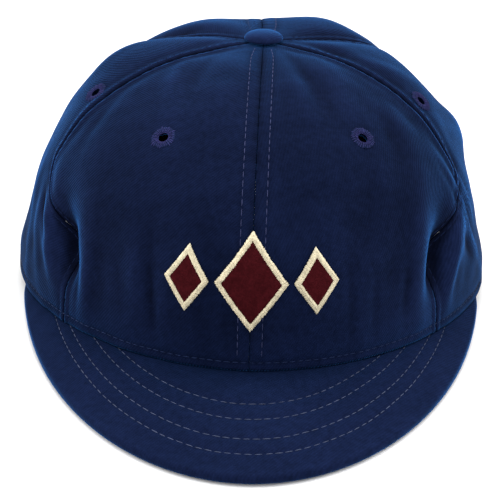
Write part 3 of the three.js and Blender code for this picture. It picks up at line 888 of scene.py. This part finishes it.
class CAP_OT_visor(bpy.types.Operator):
    """Shape the visor with its rounded edge and sew its rows of stitches."""
    bl_idname = "cap.visor"
    bl_label = "Visor"

    COLUMNS = 230
    TOP = 40
    NOSE = 8
    WALL = 4
    GROOVE = 0.34

    @staticmethod
    def width(side):
        across = visor_point(side, 1, 0) - visor_point(side, 0, 0)
        return np.hypot(across[..., 0], across[..., 1])

    @staticmethod
    def row_distance(row, side):
        return row + (ROW_SPREAD + ROW_SPREAD_SHARE * row) * side ** 2

    def groove(self, side, share):
        """The rows of stitches press the cloth down between low ridges."""
        from_edge = (1 - share) * self.width(side)
        dip = np.zeros_like(share)
        for row in VISOR_ROWS:
            dip -= self.GROOVE * bell((from_edge - self.row_distance(row, side)) / 0.9)
        return dip

    def surface(self, side, share, top):
        flat = visor_point(side, share, top)
        if top:
            ripple = 0.14 * waves(flat, 30, 31) + 0.06 * waves(flat, 9, 32)
            flat[..., 2] += (ripple + self.groove(side, share)) * smooth((1 - share) / 0.03)
        return flat * MM

    def section(self, side):
        """The closed outline of the visor across its width, for each place along it."""
        shares = [np.full_like(side, n / self.TOP) for n in range(self.TOP + 1)]
        rings = [self.surface(side, share, True) for share in shares]
        edge = visor_point(side, 1, 0) * MM
        out = edge - visor_point(side, 0.97, 0) * MM
        out[:, 2] = 0
        half = VISOR_THICK / 2 * MM * (1 - end_taper(side))
        for n in range(1, self.NOSE):
            turn = math.pi / 2 - math.pi * n / self.NOSE
            ring = edge + unit(out) * half[:, None] * math.cos(turn)
            ring[:, 2] += half * (1 + math.sin(turn))
            rings.append(ring)
        rings += [self.surface(side, share, False) for share in reversed(shares)]
        low, high = rings[-1], rings[0]
        rings += [low + (high - low) * n / self.WALL for n in range(1, self.WALL)]
        return np.stack(rings)

    def wear_and_painted_light(self, side, rows):
        """Painted shadow where the visor meets the crown, painted shade along the grooves of its rows
        and on its underside, and lighter along its edge, partly worn and partly painted highlight.
        """
        rub = np.full((rows + 1, len(side)), 0.4)
        for row in range(self.TOP + 1):
            share = np.full_like(side, row / self.TOP)
            ridge = 0.25 * self.groove(side, share) + 0.1 * smooth((row - self.TOP + 3) / 3)
            # painted shadow fades in from where the visor meets the crown
            rub[row] = (0.56 + ridge) * smooth((share * self.width(side) + 0.4) / 2.4)
        rub[self.TOP:self.TOP + self.NOSE + 1] = 0.68
        return np.clip(rub, 0, 1)

    def execute(self, context):
        rows = 2 * self.TOP + self.NOSE + self.WALL
        side = np.linspace(-1, 1, self.COLUMNS + 1)
        rings = self.section(side)
        rings = np.concatenate([rings, rings[:1]])
        rub = self.wear_and_painted_light(side, rows)
        bm, layer, faded_and_lit = mapped_mesh()
        across, up = add_grid(bm, self.COLUMNS, rows)
        at = np.rint(up * rows).astype(int), np.rint(across * self.COLUMNS).astype(int)
        set_places(bm, rings[at], faded_and_lit, rub[at])
        set_map(bm, layer, lambda vert: (vert.co.x / MM, vert.co.y / MM))
        bmesh.ops.remove_doubles(bm, verts=[v for v in bm.verts if v.is_boundary], dist=1e-6)
        made = bmesh.ops.holes_fill(bm, edges=[e for e in bm.edges if e.is_boundary], sides=0)
        bmesh.ops.triangulate(bm, faces=made["faces"])
        bmesh.ops.recalc_face_normals(bm, faces=bm.faces)
        dress("visor_cloth", bm, "visor cloth", "visor_cloth", "visor")
        self.sew()
        return {"FINISHED"}

    def sew(self):
        rows = bmesh.new()
        for number, row in enumerate(VISOR_ROWS):
            side = np.linspace(-0.98, 0.98, 900)
            share = 1 - self.row_distance(row, side) / self.width(side)
            kept = share > 0.012
            side, share = side[kept], share[kept]
            normal = np.tile([0.0, 0.0, 1.0], (len(side), 1))
            stitch_row(rows, self.surface(side, share, True), normal, 0.06 * MM, 90 + number)
        dress("visor_stitches", rows, "visor thread", "visor_cloth")


class CAP_OT_button(bpy.types.Operator):
    """Cover the button with cloth, gathered under its edge."""
    bl_idname = "cap.button"
    bl_label = "Button"

    def execute(self, context):
        low, high = (Vector(v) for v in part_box("button"))
        middle = (low + high) / 2
        radius = (high.x - low.x) / 2
        foot = high.z - BUTTON_HEIGHT * MM
        edge, post = BUTTON_EDGE * MM, BUTTON_POST * MM
        bm, layer, faded_and_lit = mapped_mesh()
        bmesh.ops.create_uvsphere(bm, u_segments=64, v_segments=32, radius=1.0)
        for vert in bm.verts:
            up = vert.co.z
            # painted light on top of the button, fading to painted shade towards its foot
            vert[faded_and_lit] = 0.42 + 0.26 * float(smooth(up * 0.7 + 0.3))
            around = math.atan2(vert.co.y, vert.co.x)
            gather = 1 + 0.012 * math.sin(around * 13 + 1.0) * max(0.0, 0.6 - up)
            out = radius * math.hypot(vert.co.x, vert.co.y) ** 0.9 * gather
            height = edge + (high.z - foot - edge) * up if up > 0 else edge * (1 + up)
            vert.co = (middle.x + out * math.cos(around), middle.y + out * math.sin(around),
                       foot + height)
        top = foot + POST_OVERLAP * MM
        bmesh.ops.create_cone(bm, cap_ends=True, segments=24, radius1=post, radius2=post,
                              depth=top - low.z,
                              matrix=Matrix.Translation((middle.x, middle.y, (top + low.z) / 2)))
        set_map(bm, layer, lambda vert: ((vert.co.x - middle.x) / MM, (vert.co.y - middle.y) / MM))
        dress("button_cover", bm, "button cloth", "button_cloth", "button")
        return {"FINISHED"}


class CAP_OT_eyelets(bpy.types.Operator):
    """Work the eyelets: close radial stitches over a padded ring."""
    bl_idname = "cap.eyelets"
    bl_label = "Eyelets"

    STITCHES = 30
    PURLS = 20
    THREAD = 0.17 * MM
    LOOSE = 0.4 * MM

    def execute(self, context):
        s = settings()
        for number, (name, (_, _, azimuth, level)) in enumerate(PANELS.items()):
            rng = random.Random(200 + number)
            centre, normal = cloth_spot(azimuth, level)
            across = normal.orthogonal().normalized()
            upwards = normal.cross(across)
            ring_radius = (s.eyelet_radius + s.eyelet_hole) / 2
            bound = s.eyelet_hole + 0.1 * MM

            def spoke(turn):
                return across * math.cos(2 * math.pi * turn) + upwards * math.sin(2 * math.pi * turn)

            eyelet = name.replace("panel", "eyelet")
            dress(eyelet + "_padding", self.padding(centre, across, normal, ring_radius, s),
                  "side thread", "navy_thread")
            bm = bmesh.new()
            for n in range(self.STITCHES):
                way = spoke((n + rng.uniform(-0.15, 0.15)) / self.STITCHES)
                outer = s.eyelet_radius * rng.uniform(0.88, 1.03) + (self.LOOSE if n % 9 == 4 else 0)
                start = centre + way * bound + normal * 0.35 * MM
                knee = centre + way * ring_radius + normal * 0.8 * MM
                end = centre + way * outer + normal * 0.1 * MM
                radius = self.THREAD * rng.uniform(0.8, 1.15)
                thread(bm, start, knee, normal, radius)
                thread(bm, knee, end, normal, radius)
            # the purled edge of the hole
            for n in range(self.PURLS):
                way = spoke(n / self.PURLS)
                half = normal.cross(way) * 0.3 * MM
                spot = centre + way * bound + normal * 0.25 * MM
                thread(bm, spot - half, spot + half, normal, 0.18 * MM, 5)
            dress(eyelet + "_thread", bm, "eyelet thread", "navy_thread", eyelet)
        return {"FINISHED"}

    @staticmethod
    def padding(centre, across, normal, radius, s):
        """The ring of thread that the stitches of an eyelet are worked over."""
        bm = bmesh.new()
        made = bmesh.ops.create_circle(bm, segments=10, radius=1.0)
        half_width = (s.eyelet_radius - s.eyelet_hole) / 2 * 0.84
        for vert in made["verts"]:
            vert.co = (centre + across * (radius + half_width * vert.co.x)
                       + normal * (0.1 + 0.5 * vert.co.y) * MM)
        bmesh.ops.spin(bm, geom=made["verts"] + list(bm.edges), cent=centre, axis=normal,
                       angle=2 * math.pi, steps=40, use_merge=True, use_duplicate=False)
        bmesh.ops.recalc_face_normals(bm, faces=bm.faces)
        return bm


class CAP_OT_felt(bpy.types.Operator):
    """Cut the felt diamonds and sew their edges with close slanting stitches."""
    bl_idname = "cap.felt"
    bl_label = "Felt ornament"

    STEPS = 36
    PITCH = 0.42

    def execute(self, context):
        for number, (name, measures) in enumerate(DIAMONDS.items()):
            self.cut(name, *measures)
            self.bind(number, name, *measures)
        return {"FINISHED"}

    @staticmethod
    def inset(width, half_width, half_height):
        """The scale of the diamond that lies a width inside the edge of the whole one."""
        return 1 - width * math.hypot(half_width, half_height) / (half_width * half_height)

    def cut(self, name, middle, half_width, half_height):
        inset = self.inset(EDGE_WIDTH * 0.62, half_width, half_height)
        bm = bmesh.new()
        p, q = add_grid(bm, self.STEPS, self.STEPS)
        across = middle + half_width * inset * (p - q)
        upwards = half_height * inset * (p + q - 1)
        edge = np.minimum(np.minimum(p, 1 - p), np.minimum(q, 1 - q)) * half_height
        height = FELT_THICK * (0.72 + 0.28 * smooth(edge / 1.4))
        lumps = np.stack([across, upwards, 0 * across], -1)
        set_places(bm, ornament_point(across, upwards, height + 0.06 * waves(lumps, 5, 51)))
        bmesh.ops.recalc_face_normals(bm, faces=bm.faces)
        if sum(f.normal.y for f in bm.faces) > 0:
            bmesh.ops.reverse_faces(bm, faces=bm.faces)
        bmesh.ops.solidify(bm, geom=bm.faces, thickness=(FELT_THICK - 0.1) * MM)
        dress("felt_" + name + "_cloth", bm, "maroon felt", "maroon_felt", "felt_" + name)

    def bind(self, number, name, middle, half_width, half_height):
        """Satin stitches across the edge, each a little out of line."""
        rng = random.Random(300 + number)
        inset = self.inset(EDGE_WIDTH, half_width, half_height)
        corners = [(1, 0), (0, 1), (-1, 0), (0, -1), (1, 0)]
        bm = bmesh.new()
        for (ax, ay), (bx, by) in zip(corners[:-1], corners[1:]):
            length = math.hypot(half_width * (bx - ax), half_height * (by - ay))
            count = max(3, round(length / self.PITCH))
            for n in range(count):
                ends = []
                for scale, slide in ((inset, -0.35), (1.0, 0.35)):
                    scale += rng.uniform(-0.014, 0.014)
                    slide = (slide + rng.uniform(-0.2, 0.2)) * self.PITCH / length
                    place = min(1.0, max(0.0, (n + 0.5) / count + slide))
                    ends.append((middle + half_width * (ax + (bx - ax) * place) * scale,
                                 half_height * (ay + (by - ay) * place) * scale))
                (x0, y0), (x1, y1) = ends
                a = ornament_point(x0, y0, 0.75)
                b = ornament_point((x0 + x1) / 2, (y0 + y1) / 2, 1.25)
                c = ornament_point(x1, y1, 0.1)
                lift = (0, -1, 0.05)
                radius = 0.3 * MM * rng.uniform(0.9, 1.1)
                thread(bm, a, b, lift, radius)
                thread(bm, b, c, lift, radius)
        dress("felt_edge_" + name + "_thread", bm, "cream thread", "cream_thread", "felt_edge_" + name)


class CAP_OT_stage(bpy.types.Operator):
    """Set the pale floor, the soft lights and the camera."""
    bl_idname = "cap.stage"
    bl_label = "Stage"

    ELEVATION = 26.65
    DISTANCE = 605.45
    FOCAL_PIXELS = 1456.58
    ROLL = -1.58
    TARGET = (-0.82, 0.0, 10.64)
    PICTURE_WIDTH = 500
    SENSOR = 36.0
    FLOOR_GAP = 0.2 * MM
    LIGHTS = (  # name, place, size, power
        ("top light", (0.1, 0.35, 1.5), 1.4, 22.0),
        ("left light", (-1.3, 0.2, 0.7), 0.9, 9.0),
        ("right light", (1.3, 0.3, 0.7), 0.9, 7.0),
    )
    LIT_POINT = (0, 0, 0.04)

    def execute(self, context):
        self.floor()
        self.lights(context)
        self.camera(context)
        return {"FINISHED"}

    def floor(self):
        bm = bmesh.new()
        bmesh.ops.create_grid(bm, x_segments=4, y_segments=4, size=3.0,
                              matrix=Matrix.Translation((0, 0, -self.FLOOR_GAP)))
        obj = new_object("floor", bm)
        white = bpy.data.materials.new("paper")
        white.use_nodes = True
        feed(white.node_tree, white.node_tree.nodes["Principled BSDF"],
             {"Base Color": (0.9, 0.9, 0.9, 1), "Roughness": 0.9})
        obj.data.materials.append(white)

    def lights(self, context):
        world = bpy.data.worlds.new("soft white")
        world.use_nodes = True
        feed(world.node_tree, world.node_tree.nodes["Background"],
             {"Color": (1, 1, 1, 1), "Strength": 0.9})
        context.scene.world = world
        for name, place, size, power in self.LIGHTS:
            data = bpy.data.lights.new(name, "AREA")
            data.shape = "SQUARE"
            data.size = size
            data.energy = power
            lamp = bpy.data.objects.new(name, data)
            lamp.location = place
            aim = Vector(self.LIT_POINT) - Vector(place)
            lamp.rotation_euler = aim.to_track_quat("-Z", "Y").to_euler()
            context.scene.collection.objects.link(lamp)
        context.scene.view_settings.view_transform = "Standard"

    def camera(self, context):
        target = Matrix.Translation((np.array(self.TARGET) + SHIFT) * MM)
        turn = Matrix.Rotation(math.radians(90 - self.ELEVATION), 4, "X")
        roll = Matrix.Rotation(math.radians(-self.ROLL), 4, "Z")
        back = Matrix.Translation((0, 0, self.DISTANCE * MM))
        data = bpy.data.cameras.new("camera")
        data.sensor_fit = "HORIZONTAL"
        data.sensor_width = self.SENSOR
        data.lens = self.FOCAL_PIXELS / self.PICTURE_WIDTH * self.SENSOR
        data.clip_start = 0.01
        eye = bpy.data.objects.new("camera", data)
        eye.matrix_world = target @ turn @ roll @ back
        context.scene.collection.objects.link(eye)
        context.scene.camera = eye


class CAP_PT_sidebar(bpy.types.Panel):
    """Lists the pieces of the cap."""
    bl_idname = "CAP_PT_sidebar"
    bl_label = "Baseball cap"
    bl_space_type = "VIEW_3D"
    bl_region_type = "UI"
    bl_category = "Cap"

    def draw(self, context):
        for operator in OPERATORS:
            self.layout.operator(operator.bl_idname)
        for name in CapSettings.__annotations__:
            self.layout.prop(context.scene.cap_settings, name)


OPERATORS = (CAP_OT_stage, CAP_OT_panels, CAP_OT_crown_stitches, CAP_OT_visor, CAP_OT_button,
             CAP_OT_eyelets, CAP_OT_felt)
CLASSES = (CapSettings, *OPERATORS, CAP_PT_sidebar)


def register():
    for cls in CLASSES:
        bpy.utils.register_class(cls)
    bpy.types.Scene.cap_settings = bpy.props.PointerProperty(type=CapSettings)


def unregister():
    del bpy.types.Scene.cap_settings
    for cls in reversed(CLASSES):
        bpy.utils.unregister_class(cls)


def main():
    register()
    bpy.ops.cap.stage()
    bpy.ops.cap.panels()
    bpy.ops.cap.crown_stitches()
    bpy.ops.cap.visor()
    bpy.ops.cap.button()
    bpy.ops.cap.eyelets()
    bpy.ops.cap.felt()


if __name__ == "__main__":
    main()
